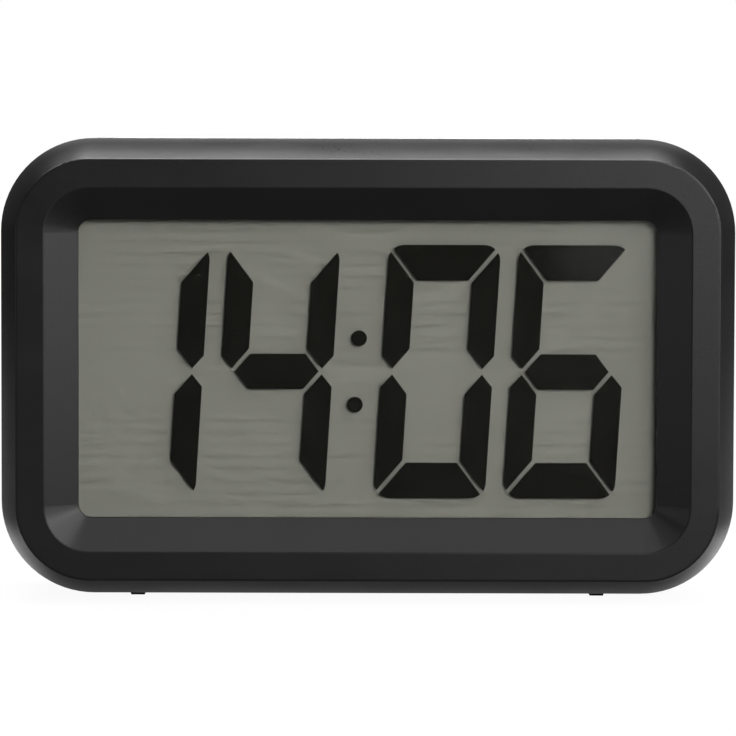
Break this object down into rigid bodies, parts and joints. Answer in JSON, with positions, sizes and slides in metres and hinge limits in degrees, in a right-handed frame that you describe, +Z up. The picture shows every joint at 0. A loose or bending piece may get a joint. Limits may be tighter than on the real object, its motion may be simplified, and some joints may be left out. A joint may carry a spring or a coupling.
{
  "type": "digital desk clock",
  "caption": "Desk clock with a flared rounded case, recessed liquid crystal display, top snooze bar, rear buttons and battery door.",
  "frame": {"origin": "on the ground under the middle of the clock", "axes": "+X to the right seen from the front, +Y to the back, +Z up; the display faces -Y"},
  "size_m": [0.1398, 0.042, 0.0875],
  "materials": {
    "case_black": "matte",
    "key_black": "satin",
    "lens_clear": "gloss",
    "polarizer_film": "satin",
    "display_glass": "gloss",
    "segment_black": "matte",
    "seal_grey": "satin",
    "display_ground": "matte",
    "guide_clear": "gloss",
    "led_white": "gloss",
    "reflector_white": "matte",
    "holder_black": "matte",
    "zebra_rubber": "matte",
    "board_green": "satin",
    "chip_black": "gloss",
    "crystal_metal": "satin",
    "capacitor_sleeve": "satin",
    "screw_steel": "satin",
    "switch_black": "satin",
    "switch_metal": "satin",
    "plunger_white": "satin",
    "contact_metal": "satin",
    "buzzer_brass": "satin",
    "buzzer_ceramic": "satin",
    "cell_sleeve": "satin",
    "foot_rubber": "matte",
    "lead_red": "satin",
    "lead_black": "satin",
    "ribbon_grey": "satin"
  },
  "bodies": {
    "case": {"alarm_switch": "switch_metal", "backlight_leds": "led_white", "battery_cell_1": "cell_sleeve", "battery_cell_2": "cell_sleeve", "battery_cell_3": "cell_sleeve", "battery_lead_black": "lead_black", "battery_lead_red": "lead_red", "board_capacitors": "capacitor_sleeve", "board_ribbon": "ribbon_grey", "board_screws": "screw_steel", "button_switches": "switch_black", "buzzer_ceramic": "buzzer_ceramic", "buzzer_disc": "buzzer_brass", "buzzer_leads": "lead_black", "case_feet": "foot_rubber", "case_screws": "screw_steel", "contact_plates": "contact_metal", "contact_springs": "contact_metal", "control_board": "board_green", "control_board_screws": "screw_steel", "display_holder": "holder_black", "display_lens": "lens_clear", "driver_chip": "chip_black", "front_glass": "display_glass", "front_polarizer": "polarizer_film", "front_shell": "case_black", "lcd_seal": "seal_grey", "lcd_segments": "segment_black", "light_guide": "guide_clear", "main_board": "board_green", "quartz_crystal": "crystal_metal", "rear_glass": "display_glass", "rear_polarizer": "display_ground", "rear_shell": "case_black", "reflector_sheet": "reflector_white", "snooze_board": "board_green", "snooze_board_screws": "screw_steel", "snooze_leads": "lead_red", "snooze_switch": "switch_black", "zebra_strip": "zebra_rubber"},
    "snooze_key": {"snooze_bar": "key_black", "snooze_plunger": "plunger_white"},
    "battery_cover": {"battery_door": "case_black"},
    "alarm_knob": {"alarm_slider": "key_black"},
    "mode_key": {"mode_button": "key_black", "mode_plunger": "plunger_white"},
    "set_key": {"set_button": "key_black", "set_plunger": "plunger_white"},
    "up_key": {"up_button": "key_black", "up_plunger": "plunger_white"},
    "down_key": {"down_button": "key_black", "down_plunger": "plunger_white"}
  },
  "joints": [
    {"name": "snooze_press", "type": "slide", "parent": "case", "child": "snooze_key", "axis": [0, 0, -1], "range_m": [0, 0.0006], "stiffness_N_per_m": 900, "springref_m": -0.0001},
    {"name": "mode_press", "type": "slide", "parent": "case", "child": "mode_key", "axis": [0, -1, 0], "range_m": [0, 0.0006], "stiffness_N_per_m": 700, "springref_m": -0.0001},
    {"name": "set_press", "type": "slide", "parent": "case", "child": "set_key", "axis": [0, -1, 0], "range_m": [0, 0.0006], "stiffness_N_per_m": 700, "springref_m": -0.0001},
    {"name": "up_press", "type": "slide", "parent": "case", "child": "up_key", "axis": [0, -1, 0], "range_m": [0, 0.0006], "stiffness_N_per_m": 700, "springref_m": -0.0001},
    {"name": "down_press", "type": "slide", "parent": "case", "child": "down_key", "axis": [0, -1, 0], "range_m": [0, 0.0006], "stiffness_N_per_m": 700, "springref_m": -0.0001},
    {"name": "alarm_slide", "type": "slide", "parent": "case", "child": "alarm_knob", "axis": [1, 0, 0], "range_m": [0, 0.003]},
    {"name": "battery_tilt", "type": "hinge", "parent": "case", "child": "battery_cover", "pos_m": [0, 0.0189, 0.00925], "axis": [-1, 0, 0], "range_deg": [0, 80]}
  ]
}
